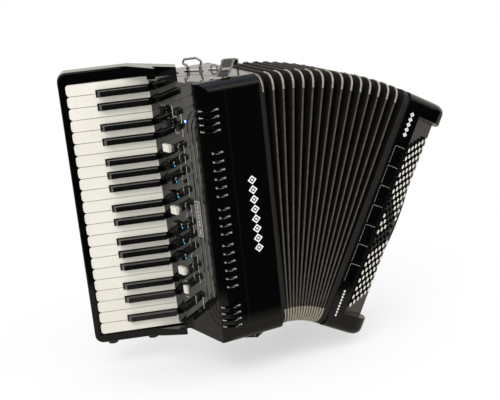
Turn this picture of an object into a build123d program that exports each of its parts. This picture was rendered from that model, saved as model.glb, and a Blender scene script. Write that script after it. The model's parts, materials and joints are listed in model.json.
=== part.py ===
from build123d import *
import os
from math import cos, radians, sin

# Piano accordion, electronic kind: 37 piano keys, 120 bass buttons, bellows drawn open into a fan.
# Working frame: X = 0 at the bellows side of the treble body, Y = 0 at mid depth, Z = 0 at mid height.
# +X points to the bass side, +Y to the player, +Z up along the keyboard, millimetres.
# ROW_SHIFT moves the finished pieces so that the origin is the middle of the treble body's back face.

# ---- driving dimensions ----
ROW_SHIFT = (35.0, -96.0, 0.0)
TREBLE_FRONT = -95.0          # Y of the glossy front
TREBLE_BACK = 96.0            # Y of the back
TREBLE_HALF = 207.0           # half height of the treble body
FRONT_ROUND = 16.0            # rounding of the top and bottom front edges
BACK_ROUND = 5.0
WALL = 3.2
FIT = 0.2                     # gap between neighbouring fixed shells

WHITE_PITCH = 19.0
WHITE_COUNT = 22
KEYS_TOP = 210.7              # Z where the first white key starts
WHITE_LENGTH = 128.6
BLACK_LENGTH = 82.0
BLACK_HEIGHT = 9.0
BLACK_WIDTH = 10.6
NOTCH_GAP = 0.9               # side gap between a black key and its neighbours
KEY_GAP = 0.8
KEY_THICK = 11.0
KEY_TILT = 19.07              # slope of the key plane, degrees
AXLE_A = -32.0                # key axle in the keyboard's own frame
AXLE_B = -7.0
AXLE_R = 2.5

BELLOWS_Z0 = -203.0           # bottom edge of the bellows
BELLOWS_HEIGHT = 406.0
BELLOWS_TOP = BELLOWS_Z0 + BELLOWS_HEIGHT
BELLOWS_DEPTH = 188.0
BELLOWS_ROUND = 20.0
FOLDS = 14
FOLD_PITCH = 4.1              # fold spacing at the bottom edge, and everywhere when closed
FOLD_THICK = 3.4
FOLD_BAND = 24.0
FAN_STEP = 29.5 / 15          # degrees between neighbouring folds as drawn
FIRST_LINE = 7.0              # X of the treble frame's outer edge line
CLIP_BAND = 5.0
CLIP_LEG = 30.0

BASS_HALF = 203.0
BASS_OUT = 110.0              # thickness of the bass body beyond its bellows frame
BASS_CORNER = 14.0            # rounding of its outer top and bottom edges
DECK_HALF = 172.0
BUTTON_PITCH = 14.3
COLUMN_PITCH = 12.4
COLUMN_SHIFT = 5.9
BUTTON_R = 4.0
BUTTON_HOLE_R = 4.3
BUTTON_RISE = 4.5

TAB_Z = [98.6, 73.1, 47.6, 22.1, -3.4, -28.9, -54.4, -79.9, -105.4]
WHITE_TABS = (0, 4, 8)
TAB_REACH = 9.6               # from the middle of a tab's stem to its keyboard end
SELECT_Z = [101.0, 84.0, 67.0, 50.0, 33.0, 6.0, -11.0, -28.0, -53.0, -77.5, -94.5, -111.5]
SLOT_GROUPS = [(166.0, 10.55, 4, -100.0), (100.3, 13.46, 6, -89.0), (12.3, 13.1, 4, -89.0),
               (-45.5, 13.5, 6, -89.0), (-146.3, 10.7, 4, -100.0)]
SLOT_RIGHT = -69.0

SIDE = Plane(origin=(-101, -83, 0), x_dir=(-0.1706, 0.9853, 0), z_dir=(0, 0, 1))
KEYBED = Plane(origin=(-125, 44, 0), x_dir=(-cos(radians(KEY_TILT)), sin(radians(KEY_TILT)), 0),
               z_dir=(0, 0, 1))
STRAP = Plane(origin=(-13, -26, 221), x_dir=(-0.5755, -0.8178, 0), z_dir=(0, 0, 1))


# ---- helpers ----
def save(shape, name):
    shape = Pos(*ROW_SHIFT) * shape
    shape.label = name
    export_step(shape, f"parts/{name}.step")


def block(x0, x1, y0, y1, z0, z1):
    centre = ((x0 + x1) / 2, (y0 + y1) / 2, (z0 + z1) / 2)
    return Pos(*centre) * Box(x1 - x0, y1 - y0, z1 - z0)


def prism(points, z0, z1):
    return extrude(Plane.XY.offset(z0) * Polygon(*points, align=None), z1 - z0, dir=(0, 0, 1))


def rod(x, y, z0, z1, r):
    return Pos(x, y, (z0 + z1) / 2) * Cylinder(r, z1 - z0)


def rod_y(x, z, y0, y1, r):
    return Pos(x, (y0 + y1) / 2, z) * Rot(90, 0, 0) * Cylinder(r, y1 - y0)


def rod_x(y, z, x0, x1, r):
    return Pos((x0 + x1) / 2, y, z) * Rot(0, 90, 0) * Cylinder(r, x1 - x0)


def side_face(shape):
    return SIDE.location * shape


def keybed(shape):
    return KEYBED.location * shape


def joined(shapes):
    return Compound([solid for shape in shapes for solid in shape.solids()])


def envelope(front, back, half, round_front, round_back, x0, x1):
    """A long bar along X with rounded front and back edges."""
    front_part = Plane.YZ.offset(x0) * Pos((front + back) / 2, 0) * RectangleRounded(
        back - front, 2 * half, round_front)
    back_part = Plane.YZ.offset(x0) * Pos((front + back) / 2 + round_front / 2, 0) * RectangleRounded(
        back - front - round_front, 2 * half, round_back)
    return extrude(front_part, x1 - x0) + extrude(back_part, x1 - x0)


def ring(x0, x1, depth, height, corner, band):
    """Rounded frame in the YZ plane, its bottom edge on Z = 0."""
    place = Plane.YZ.offset(x0) * Pos(0.5, height / 2)
    outer = place * RectangleRounded(depth, height, corner)
    inner = place * RectangleRounded(depth - 2 * band, height - 2 * band, 8)
    return extrude(outer - inner, x1 - x0)


# ---- treble body ----
CASE_PLAN = [(0, -95), (-57, -95), (-74.6, 33), (-70, 60), (-70, 96), (0, 96)]
COVER_PLAN = [(-57.2, -95), (-83, -95), (-89, -92), (-101, -83), (-119, 21), (-75, 32.6)]
COVER_HOLLOW = [(-40, -92), (-82, -92), (-87.6, -89.2), (-98.1, -81.3), (-116, 22), (-116.5, 45), (-40, 45)]


def body_bar(inset, x0, x1):
    return envelope(TREBLE_FRONT + inset, TREBLE_BACK - inset, TREBLE_HALF - inset,
                    FRONT_ROUND - inset, BACK_ROUND - 0.8 * inset, x0, x1)


def screw_points():
    return [(-88.0, -25.0, 1), (-66.0, -70.0, 1), (-88.0, -25.0, -1), (-66.0, -70.0, -1)]


def screw_holes():
    return [rod(x, y, side * TREBLE_HALF - 12, side * TREBLE_HALF + 12, 1.7) for x, y, side in screw_points()]


def jack_positions():
    return [(-20.0, 60.0), (-40.0, 60.0)]


def make_treble_case():
    case = prism(CASE_PLAN, -TREBLE_HALF, TREBLE_HALF) & body_bar(0, -80, 0)
    hollow_plan = [(5, -92), (-54.2, -92), (-71.4, 33.4), (-66.8, 60), (-66.8, 93), (5, 93)]
    hollow = prism(hollow_plan, -TREBLE_HALF, TREBLE_HALF) & body_bar(WALL, -80, 5)
    case -= hollow
    case -= block(-90, -40, -88, 28, -190, 190)
    for x, y in jack_positions():
        case += rod(x, y, -TREBLE_HALF + 1, -TREBLE_HALF + 19, 7)
        case -= rod(x, y, -TREBLE_HALF - 1, -TREBLE_HALF + 17, 3.3)
    return case


def slot_cutters():
    cutters = []
    for top, pitch, count, left in SLOT_GROUPS:
        for n in range(count):
            z = top - n * pitch
            cutters.append(block(left, SLOT_RIGHT, -98, -84, z - 2.1, z + 2.1))
    return cutters


def groove(reach, depth=1.2, width=2.2):
    """One of the nested bracket grooves: a closed stadium line cut into the side face."""
    top = 136 + reach
    bottom = -148 - reach
    centre = Pos(1, 0, (top + bottom) / 2) * Rot(90, 0, 0)
    outer = RectangleRounded(2 * reach + width, top - bottom + width, reach + width / 2 - 0.01)
    inner = RectangleRounded(2 * reach - width, top - bottom - width, reach - width / 2 - 0.01)
    line = extrude(centre * (outer - inner), depth, both=True)
    return side_face(line)


def make_grille_cover():
    cover = prism(COVER_PLAN, -TREBLE_HALF, TREBLE_HALF) & body_bar(0, -125, -50)
    cover -= prism(COVER_HOLLOW, -TREBLE_HALF, TREBLE_HALF) & body_bar(WALL, -125, -30)
    cover -= side_face(block(41.8, 120, -5, 5, -203.4, 203.4))
    cover -= side_face(block(21.2, 37.8, -5, 2, -36.3, 22.3))
    for cutter in slot_cutters() + screw_holes():
        cover -= cutter
    for reach in (30.0, 18.5, 8.6):
        cover -= groove(reach)
    cover -= side_face(Pos(35, 0, 147) * Rot(90, 0, 0) * Cylinder(1.9, 12))
    return cover


def make_display_window():
    return side_face(block(21.4, 37.6, -2.6, -0.2, -36.1, 22.1))


def tab_places():
    return [(94.0, z) for z in TAB_Z]


def selector_places():
    small = [(56.0, z) for z in SELECT_Z]
    return small + [(53.0, 159.0), (53.0, 135.0), (57.0, -142.0), (54.0, -164.0)]


KNOB_PLACES = {"volume_knob": (95.0, 159.0), "balance_knob": (80.0, 140.0)}
RECALL_PLACE = (92.0, -137.6)


def drill_side(s, z, r):
    return side_face(Pos(s, 0, z) * Rot(90, 0, 0) * Cylinder(r, 30))


def make_control_panel():
    plate = block(42.0, 104.0, -3, 0, -203.2, 203.2)
    lip_outer = [(103.9, 0.0), (105.4, 0.0), (128.0, 1.9), (127.6, -1.0), (103.9, -3.0)]
    plate += prism(lip_outer, -203.2, 203.2)
    panel = side_face(plate)
    for s, z in tab_places():
        panel -= side_face(block(s - 7.4, s + TAB_REACH + 0.3, -6, 4, z - 6.8, z + 6.8))
    for s, z in selector_places():
        panel -= drill_side(s, z, 3.5)
    for s, z in KNOB_PLACES.values():
        panel -= drill_side(s, z, 3.3)
    s, z = RECALL_PLACE
    panel -= side_face(block(s - 5.0, s + 5.0, -6, 4, z - 7.0, z + 7.0))
    return panel


def make_tabs(white):
    solids = []
    for n, (s, z) in enumerate(tab_places()):
        if (n in WHITE_TABS) == white:
            cap = fillet(block(s - 7.1, s + TAB_REACH, -2.8, 5.5, z - 6.5, z + 6.5).edges(), 1.0)
            stem = block(s - 5.9, s + 5.9, -8, 2, z - 5.9, z + 5.9)
            solids.append(side_face(cap + stem))
    return joined(solids)


def make_selector_buttons():
    solids = []
    for s, z in selector_places():
        button = Pos(s, 0, z) * Rot(90, 0, 0) * Cylinder(3.2, 9)
        solids.append(side_face(fillet(button.edges(), 0.7)))
    return joined(solids)


def make_knob(name):
    s, z = KNOB_PLACES[name]
    cap = Pos(s, 5.6, z) * Rot(90, 0, 0) * Cylinder(6.0, 9.0)
    cap = chamfer(cap.edges(), 0.8)
    stem = Pos(s, -3, z) * Rot(90, 0, 0) * Cylinder(3.0, 12)
    pointer = block(s - 0.6, s + 0.6, 9.4, 10.6, z, z + 5)
    return side_face(cap + stem + pointer)


def make_recall_button():
    s, z = RECALL_PLACE
    body = block(s - 4.7, s + 4.7, -8, 4.5, z - 6.7, z + 6.7)
    rims = body.edges().group_by(Axis.Y)[-1]
    return side_face(fillet(rims, 1.5))


# ---- keyboard ----
SHARPS = {"c_sharp": -2.0, "d_sharp": 2.0, "f_sharp": -2.6, "g_sharp": 0.0, "a_sharp": 2.6}
AFTER = {"c": "c_sharp", "d": "d_sharp", "f": "f_sharp", "g": "g_sharp", "a": "a_sharp"}
BEFORE = {"d": "c_sharp", "e": "d_sharp", "g": "f_sharp", "a": "g_sharp", "b": "a_sharp"}


def white_names():
    order = "cdefgab"
    return [order[(n + 4) % 7] for n in range(WHITE_COUNT)]


def white_top(n):
    return KEYS_TOP - n * WHITE_PITCH


def key_bore(z):
    return rod(AXLE_A, AXLE_B, z - 30, z + 30, AXLE_R + 0.15)


def make_white_key(n):
    name = white_names()[n]
    high = white_top(n) - KEY_GAP / 2
    low = white_top(n + 1) + KEY_GAP / 2
    head = block(-34, WHITE_LENGTH, -2.6, 0, low, high)
    head = fillet(head.edges().filter_by(Axis.Y).group_by(Axis.X)[-1], 5.0)
    tail = block(-38, 124, -KEY_THICK, -2.6, low + 0.5, high - 0.5)
    key = head + tail
    half = BLACK_WIDTH / 2 + NOTCH_GAP
    if name in BEFORE and n > 0:
        edge = white_top(n) - SHARPS[BEFORE[name]]
        key -= block(-60, BLACK_LENGTH + 1.2, -30, 5, edge - half, edge + 30)
    if name in AFTER and n < WHITE_COUNT - 1:
        edge = white_top(n + 1) - SHARPS[AFTER[name]]
        key -= block(-60, BLACK_LENGTH + 1.2, -30, 5, edge - 30, edge + half)
    return keybed(key - key_bore(high))


def make_black_key(n):
    """The black key below white key n."""
    centre = white_top(n + 1) - SHARPS[AFTER[white_names()[n]]]
    w = BLACK_WIDTH / 2
    profile = Polygon((-w, 4), (w, 4), (w - 1.2, -BLACK_HEIGHT), (-w + 1.2, -BLACK_HEIGHT), align=None)
    across = Plane(origin=(2.2, 0, centre), x_dir=(0, 0, 1), z_dir=(1, 0, 0))
    top = extrude(across * profile, BLACK_LENGTH - 2.2, dir=(1, 0, 0))
    nose = [(BLACK_LENGTH - 6, BLACK_HEIGHT + 1), (BLACK_LENGTH + 1, BLACK_HEIGHT + 1), (BLACK_LENGTH + 1, -3)]
    top -= prism(nose, centre - 10, centre + 10)
    tail = block(-38, 60, -KEY_THICK, -3.0, centre - w, centre + w)
    return keybed(top + tail - key_bore(centre))


def key_groups():
    names = white_names()
    groups = {}
    for n, name in enumerate(names):
        groups.setdefault("white_keys_" + name, []).append(make_white_key(n))
    for n, name in enumerate(names[:-1]):
        if name in AFTER:
            groups.setdefault("black_keys_" + AFTER[name], []).append(make_black_key(n))
    return groups


def key_centres():
    names = white_names()
    whites = [white_top(n) - WHITE_PITCH / 2 for n in range(WHITE_COUNT)]
    blacks = [white_top(n + 1) for n in range(WHITE_COUNT - 1) if names[n] in AFTER]
    return whites, blacks


CASING_OUTLINE = [(-46, -216), (-46, 219), (30, 230), (140, 230), (140, -222), (30, -222)]
CASING_CORNER = 14.0
CASING_EDGE = 3.0             # rounding of the casing's front edges


def make_keyboard_casing():
    flat = Polygon(*CASING_OUTLINE, align=None)
    flat = fillet(flat.vertices().sort_by(Axis.X)[-2:], CASING_CORNER)
    outline = Plane.XZ * flat
    solid = extrude(Plane.XZ.offset(-2.0) * flat, 32, dir=(0, -1, 0))
    front = solid.edges().group_by(Axis.Y)[-1].filter_by(lambda edge: edge.center().X > 31)
    solid = fillet(front, CASING_EDGE)
    wedge = prism([(1.5, 1.8), (40, 1.8), (-8, 24), (-12, 24), (-8, 1.8)], -222, 230)
    wedge &= extrude(outline, 30, dir=(0, 1, 0))
    solid = solid + wedge
    solid -= block(-41, 130.6, -26, 1.2, -209.2, 212.6)
    solid -= block(1.5, 130.6, 1.2, 40, -209.2, 212.6)
    solid -= block(-41, 1.5, 1.2, 40, -209.2, TREBLE_HALF + 0.3)
    solid -= rod(AXLE_A, AXLE_B, -212.0, 215.5, AXLE_R + 0.1)
    cover_room = [(-57, -95.5), (-83, -95.5), (-101.6, -83.5), (-119.5, 21.4), (-74.8, 33.1)]
    return keybed(solid) - prism(cover_room, -TREBLE_HALF - 0.3, TREBLE_HALF + 0.3)


def make_key_axle():
    return keybed(rod(AXLE_A, AXLE_B, -211.5, 215.0, AXLE_R))


def make_key_springs():
    whites, blacks = key_centres()
    solids = []
    for z in whites + blacks:
        blade = prism([(4, -26), (14, -26), (46, -19.4), (46, -18.8), (14, -25.3), (4, -25.3)], z - 2.2, z + 2.2)
        solids.append(keybed(blade))
    return joined(solids)


def make_key_sensor_board():
    whites, blacks = key_centres()
    board = block(58, 92, -26, -24.4, -205, 208)
    solids = [keybed(board)]
    for z in whites + blacks:
        a = 84 if z in whites else 66
        solids.append(keybed(Pos(a, -22.2, z) * Rot(90, 0, 0) * Cylinder(3.0, 4.4)))
    return joined(solids)


# ---- treble fittings ----
BRACKET_PLACE = (-50.0, 33.0)
BRACKET_TURN = -48.0
BAIL_PLACES = [(-24.0, 12.0, 1), (-24.0, 12.0, -1), (-50.0, 33.0, -1)]
STUD_PLACE = (-30.0, -50.0)
BAR_R = 2.2                   # chrome bar that carries the eye of a bellows strap


def wire_loop(path, foot_length, wire=1.6):
    """Wire bent along a path in the XZ plane, standing on its foot plate."""
    start = Plane(origin=path @ 0, z_dir=(0, 0, 1))
    return sweep(start * Circle(wire), path=path) + extrude(RectangleRounded(foot_length, 9, 4), 1.6)


def make_bracket():
    """Tall loop for a shoulder strap, held by two barrels."""
    path = FilletPolyline((-10, 0, 1), (-10, 0, 9), (-18, 0, 12), (-16, 0, 19), (6, 0, 20.5), (15, 0, 15),
                          (12, 0, 9), (12, 0, 1), radius=3)
    loop = wire_loop(path, 34, 1.9) + rod(-10, 0, 0, 7, 3.2) + rod(12, 0, 0, 7, 3.2)
    x, y = BRACKET_PLACE
    return Pos(x, y, TREBLE_HALF) * Rot(0, 0, BRACKET_TURN) * loop


def make_bail(x, y, side):
    """Low loop, for the second hook of a shoulder strap."""
    path = FilletPolyline((-5, 0, 1), (-5, 0, 7.5), (5, 0, 7.5), (5, 0, 1), radius=3)
    shape = Pos(x, y, TREBLE_HALF) * Rot(0, 0, BRACKET_TURN) * wire_loop(path, 20)
    return shape if side > 0 else mirror(shape, Plane.XY)


def make_strap_anchor():
    """Two lugs with the bar on which a bellows strap swings, and the stud that its snap closes on."""
    x, y = STUD_PLACE
    drop = TREBLE_HALF - STRAP.origin.Z
    anchor = STRAP.location * rod_y(0, 0, -13, 13, BAR_R)
    for low, high in ((-13, -10.6), (10.6, 13)):
        anchor += STRAP.location * block(-4, 4, low, high, drop, 4)
    return [anchor, rod(x, y, TREBLE_HALF, TREBLE_HALF + 2.2, 4.0)]


def make_strap_brackets():
    solids = [make_bracket()]
    solids += [make_bail(*place) for place in BAIL_PLACES]
    for shape in make_strap_anchor():
        solids += [shape, mirror(shape, Plane.XY)]
    return joined(solids)


def make_treble_screws():
    solids = []
    for x, y, side in screw_points():
        screw = rod(x, y, TREBLE_HALF, TREBLE_HALF + 1.3, 3.4) + rod(x, y, TREBLE_HALF - 9, TREBLE_HALF + 1, 1.5)
        screw -= block(x - 3, x + 3, y - 0.4, y + 0.4, TREBLE_HALF + 0.6, TREBLE_HALF + 2)
        solids.append(screw if side > 0 else mirror(screw, Plane.XY))
    return joined(solids)


FEET_LEVEL = -229.0


def make_treble_feet():
    solids = []
    for x, y in [(-12.0, 84.0), (-58.0, 84.0), (-45.0, -12.0)]:
        solids.append(Pos(x, y, (FEET_LEVEL - TREBLE_HALF) / 2) * Cone(6.0, 8.0, -TREBLE_HALF - FEET_LEVEL))
    for a in (112.0, 45.0):
        solids.append(keybed(rod(a, -15, FEET_LEVEL, -222, 8)))
    return joined(solids)


def make_treble_speakers():
    solids = []
    for z in (95.0, -95.0):
        flange = rod_y(-56, z, -85, -82, 30) - rod_y(-56, z, -86, -81, 24)
        cone = Pos(-56, -72, z) * Rot(90, 0, 0) * Cone(10, 24, 20)
        cone -= Pos(-56, -74, z) * Rot(90, 0, 0) * Cone(8.5, 22.5, 20.1)
        magnet = rod_y(-56, z, -62, -44, 19)
        solids.append(flange + cone + magnet)
        for x in (-78.0, -34.0):
            solids.append(rod_y(x, z, -91.8, -85, 3))
    return joined(solids)


def make_main_board():
    board = block(-60, -10, 83, 84.6, -150, 150)
    solids = [board]
    for x in (-55.0, -15.0):
        for z in (-140.0, 0.0, 140.0):
            solids.append(rod_y(x, z, 84.6, 92.8, 3))
    for x, z, wide, tall in [(-35, 60, 24, 24), (-35, 10, 18, 18), (-35, -40, 20, 28), (-30, -100, 12, 30),
                             (-45, 110, 10, 22), (-25, 110, 10, 22)]:
        solids.append(block(x - wide / 2, x + wide / 2, 80.5, 83, z - tall / 2, z + tall / 2))
    return joined(solids)


def make_bellows_strap(side):
    """Leather strap with an eye round its bar, a plate on its face and two snaps under its end."""
    top = [(0, 5), (16, 3.4), (40, -3), (60, -8.3), (68, -9.5)]
    bottom = [(68, -12.1), (60, -10.9), (39.3, -5.6), (15.6, 0.8), (0, 2.4)]
    band = extrude(Plane.XZ * Polygon(*(top + bottom), align=None), 10, both=True)
    band += rod_y(0, 0, -10, 10, 5)
    band -= rod_y(0, 0, -11, 11, BAR_R + 0.3)
    plate = Pos(42, 2, -2.6) * Rot(0, 15, 0) * Box(8, 12, 1.0)
    snaps = [rod(64, y, -13.8, -11.0, 2.0) for y in (-1, 5)]
    shape = STRAP.location * joined([band + plate + snaps[0] + snaps[1]])
    return shape if side > 0 else mirror(shape, Plane.XY)


# ---- bellows ----
def fan_places():
    """Place of each line from the treble frame (0) to the bass frame (15), and the hinges between them."""
    x, z, turn = FIRST_LINE, BELLOWS_Z0, 0.0
    places = [(x, z, turn)]
    hinges = []
    for _ in range(FOLDS + 1):
        x += FOLD_PITCH / 2 * cos(radians(turn))
        z -= FOLD_PITCH / 2 * sin(radians(turn))
        hinges.append((x, z))
        turn += FAN_STEP
        x += FOLD_PITCH / 2 * cos(radians(turn))
        z -= FOLD_PITCH / 2 * sin(radians(turn))
        places.append((x, z, turn))
    return places, hinges


def at_line(n, shape):
    x, z, turn = fan_places()[0][n]
    return Pos(x, 0, z) * Rot(0, turn, 0) * shape


def corner_zone(x0, x1, inset):
    """Four blocks over the corners of a bellows frame, used to part the metal clips from the card."""
    zones = []
    for y in (BELLOWS_DEPTH / 2 - CLIP_LEG / 2 + 0.5, -BELLOWS_DEPTH / 2 + CLIP_LEG / 2 + 0.5):
        for z in (CLIP_LEG / 2, BELLOWS_HEIGHT - CLIP_LEG / 2):
            zones.append(Pos((x0 + x1) / 2, y, z) * Box(x1 - x0 + 2, CLIP_LEG - inset, CLIP_LEG - inset))
    return zones


def make_fold(n):
    x0, x1 = -FOLD_THICK / 2, FOLD_THICK / 2
    whole = ring(x0, x1, BELLOWS_DEPTH, BELLOWS_HEIGHT, BELLOWS_ROUND, FOLD_BAND)
    edge = ring(x0, x1, BELLOWS_DEPTH, BELLOWS_HEIGHT, BELLOWS_ROUND, CLIP_BAND)
    card = whole
    clips = []
    for zone in corner_zone(x0, x1, 0):
        clip = edge & zone
        clips.append(clip)
        card -= zone & edge
    return at_line(n, joined([card] + clips))


def make_treble_bellows_frame():
    frame = ring(0.2, FIRST_LINE + FOLD_THICK / 2, BELLOWS_DEPTH, BELLOWS_HEIGHT, BELLOWS_ROUND, 18)
    return Pos(0, 0, BELLOWS_Z0) * frame


def make_bass_bellows_frame():
    return at_line(FOLDS + 1, ring(-FOLD_THICK / 2, 8.0, BELLOWS_DEPTH, BELLOWS_HEIGHT, BELLOWS_ROUND, 18))


# ---- bass body, drawn about its own middle and then placed at the end of the fan ----
DECK = Plane(origin=(33.5, -91.0, 0), x_dir=(0.8095, 0.5872, 0), z_dir=(0, 0, 1))
TILE_TOP = 116.0
TILE_PITCH = 34.1
TILES = 7
WHEEL_Y, WHEEL_Z = 40.0, 196.0


def bass(shape):
    return at_line(FOLDS + 1, Pos(0, 0, BELLOWS_HEIGHT / 2) * shape)


def deck_face(shape):
    """Local y of the deck points into the body."""
    return DECK.location * shape


def button_places(columns):
    places = []
    for j in columns:
        for i in range(20):
            places.append((12 + COLUMN_PITCH * j, -20.7 + COLUMN_SHIFT * j + BUTTON_PITCH * (9.5 - i)))
    return places


def tile_places():
    return [TILE_TOP - TILE_PITCH * (n + 0.5) for n in range(TILES)]


def bass_outline(inset, low, high):
    """Upright solid with the plan of the bass body, drawn in by inset, its front corner swept round."""
    left, front, right, back = (4 if inset else 8.2), TREBLE_FRONT + inset, BASS_OUT - inset, TREBLE_BACK - inset
    sweep_round = Spline((60, front), (84 - 0.6 * inset, -86.5 + 0.8 * inset), (101 - 0.8 * inset, -62 + 0.5 * inset),
                         (right, -32), tangents=[(1, 0), (0, 1)])
    rest = Polyline((right, -32), (right, 84 - 0.4 * inset), (98 - 0.4 * inset, back), (left, back), (left, front), (60, front))
    return extrude(make_face([sweep_round, rest]), high - low, dir=(0, 0, 1)).moved(Location((0, 0, low)))


def rounded_bass(inset):
    """Bass body drawn in by inset, with its outer top and bottom edges rounded."""
    body = bass_outline(inset, -BASS_HALF + inset, BASS_HALF - inset)
    ends = body.edges().group_by(Axis.Z)
    rims = [edge for edge in ends[0] + ends[-1] if edge.center().X > 9 and edge.center().Y < 80]
    return fillet(rims, BASS_CORNER - inset)


def make_bass_case():
    case = rounded_bass(0)
    hollow = rounded_bass(WALL)
    case -= hollow
    case -= deck_face(block(0, 140, -60, 3.4, -DECK_HALF, DECK_HALF))
    for side in (1, -1):
        inner, outer = sorted((side * DECK_HALF, side * (DECK_HALF + 4)))
        web = prism([(33, -93), (60, -93), (82, -84), (99, -61), (BASS_OUT - 2, -31.5)], inner, outer)
        case += web
    for z in tile_places():
        case -= block(11.2, 33.0, -99, -80, z - 16.4, z + 16.4)
    case -= block(91, 101, WHEEL_Y - 14, WHEEL_Y + 14, BASS_HALF - 12, BASS_HALF + 5)
    case -= rod_x(-8, 120, 100, 115, 9.3)
    for x in (88.0, 101.5):
        case += block(x, x + 2.5, WHEEL_Y - 6, WHEEL_Y + 6, WHEEL_Z - 6, BASS_HALF - 2.6)
    case += rod_x(WHEEL_Y, WHEEL_Z, 89, 103, 2.0)
    return case


def make_bass_button_deck():
    deck = deck_face(block(2.4, 93.6, 0.2, 3.2, -DECK_HALF + 0.3, DECK_HALF - 0.3))
    for t, z in button_places(range(6)):
        deck -= deck_face(Pos(t, 0, z) * Rot(90, 0, 0) * Cylinder(BUTTON_HOLE_R, 10))
    return deck


def make_bass_buttons(columns):
    solids = []
    for t, z in button_places(columns):
        solids.append(deck_face(Pos(t, -0.2, z) * Rot(90, 0, 0) * Cylinder(BUTTON_R, 2 * BUTTON_RISE)))
    return joined(solids)


def make_bass_register_tabs():
    return joined(fillet(block(11.6, 32.6, -96, -86, z - 16.0, z + 16.0).edges().filter_by(Axis.Z), 1.2)
                  for z in tile_places())


def make_bass_sensor_board():
    return deck_face(block(6, 88, 14, 15.6, -162, 158))


def make_hand_strap():
    outer = ThreePointArc((BASS_OUT + 3, -168), (BASS_OUT + 38, 0), (BASS_OUT + 3, 168))
    inner = ThreePointArc((BASS_OUT + 3, 160), (BASS_OUT + 34, 0), (BASS_OUT + 3, -160))
    feet = [Line(outer @ 1, inner @ 0), Line(inner @ 1, outer @ 0)]
    face = make_face(Plane.XZ * Wire([outer, feet[0], inner, feet[1]]))
    strap = Pos(0, 72, 0) * extrude(face, 60, dir=(0, -1, 0))
    anchors = [block(BASS_OUT + 0.1, BASS_OUT + 2.9, 20, 64, z - 8, z + 8) for z in (-166, 166)]
    return joined([strap] + anchors)


def make_strap_wheel():
    wheel = rod_x(WHEEL_Y, WHEEL_Z, 92.5, 99.5, 12)
    for n in range(24):
        tooth = Pos(96, WHEEL_Y, WHEEL_Z) * Rot(n * 15, 0, 0) * Pos(0, 12.2, 0) * Box(9, 1.4, 1.4)
        wheel -= tooth
    return wheel - rod_x(WHEEL_Y, WHEEL_Z, 90, 102, 2.2)


def make_air_button():
    return fillet(rod_x(-8, 120, 99, 119, 8.9).edges().group_by(Axis.X)[-1], 2.0)


def make_battery_pack():
    tray = block(14, 66, -2, 80, -150, -10) - block(16, 64, 0, 90, -148, -12)
    solids = [tray]
    for n in range(8):
        solids.append(Pos(40, 12 + 0, -139.5 + n * 16.8) * Rot(0, 90, 0) * Cylinder(7.0, 44))
    return joined(solids)


def make_bass_feet():
    spots = [(y, z) for y in (-14.0, 80.0) for z in (-182.0, 182.0)]
    return joined(rod_x(y, z, BASS_OUT + 0.05, BASS_OUT + 6, 6) for y, z in spots)


# ---- write everything ----
def main():
    os.makedirs("parts", exist_ok=True)
    save(make_treble_case(), "treble_case")
    save(make_grille_cover(), "grille_cover")
    save(make_control_panel(), "control_panel")
    save(make_display_window(), "display_window")
    save(make_keyboard_casing(), "keyboard_casing")
    save(make_key_axle(), "key_axle")
    save(make_key_springs(), "key_springs")
    save(make_key_sensor_board(), "key_sensor_board")
    save(make_treble_speakers(), "treble_speakers")
    save(make_main_board(), "main_board")
    save(make_strap_brackets(), "strap_brackets")
    save(make_treble_screws(), "treble_screws")
    save(make_treble_feet(), "treble_feet")
    save(make_treble_bellows_frame(), "treble_bellows_frame")
    save(make_tabs(True), "register_tabs_white")
    save(make_tabs(False), "register_tabs_black")
    save(make_selector_buttons(), "selector_buttons")
    save(make_recall_button(), "recall_button")
    for name in KNOB_PLACES:
        save(make_knob(name), name)
    for name, keys in key_groups().items():
        save(joined(keys), name)
    save(make_bellows_strap(1), "bellows_strap_top")
    save(make_bellows_strap(-1), "bellows_strap_bottom")
    for n in range(1, FOLDS + 1):
        save(make_fold(n), f"bellows_fold_{n:02d}")
    save(make_bass_bellows_frame(), "bass_bellows_frame")
    bass_pieces = {
        "bass_case": make_bass_case(),
        "bass_button_deck": make_bass_button_deck(),
        "bass_buttons_single": make_bass_buttons((0, 1)),
        "bass_buttons_chord": make_bass_buttons((2, 3, 4, 5)),
        "bass_register_tabs": make_bass_register_tabs(),
        "bass_sensor_board": make_bass_sensor_board(),
        "hand_strap": make_hand_strap(),
        "strap_wheel": make_strap_wheel(),
        "air_button": make_air_button(),
        "battery_pack": make_battery_pack(),
        "bass_feet": make_bass_feet(),
    }
    for name, shape in bass_pieces.items():
        save(bass(shape), name)


main()
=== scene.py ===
import json
import math

import bmesh
import bpy
from mathutils import Matrix, Vector

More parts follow.
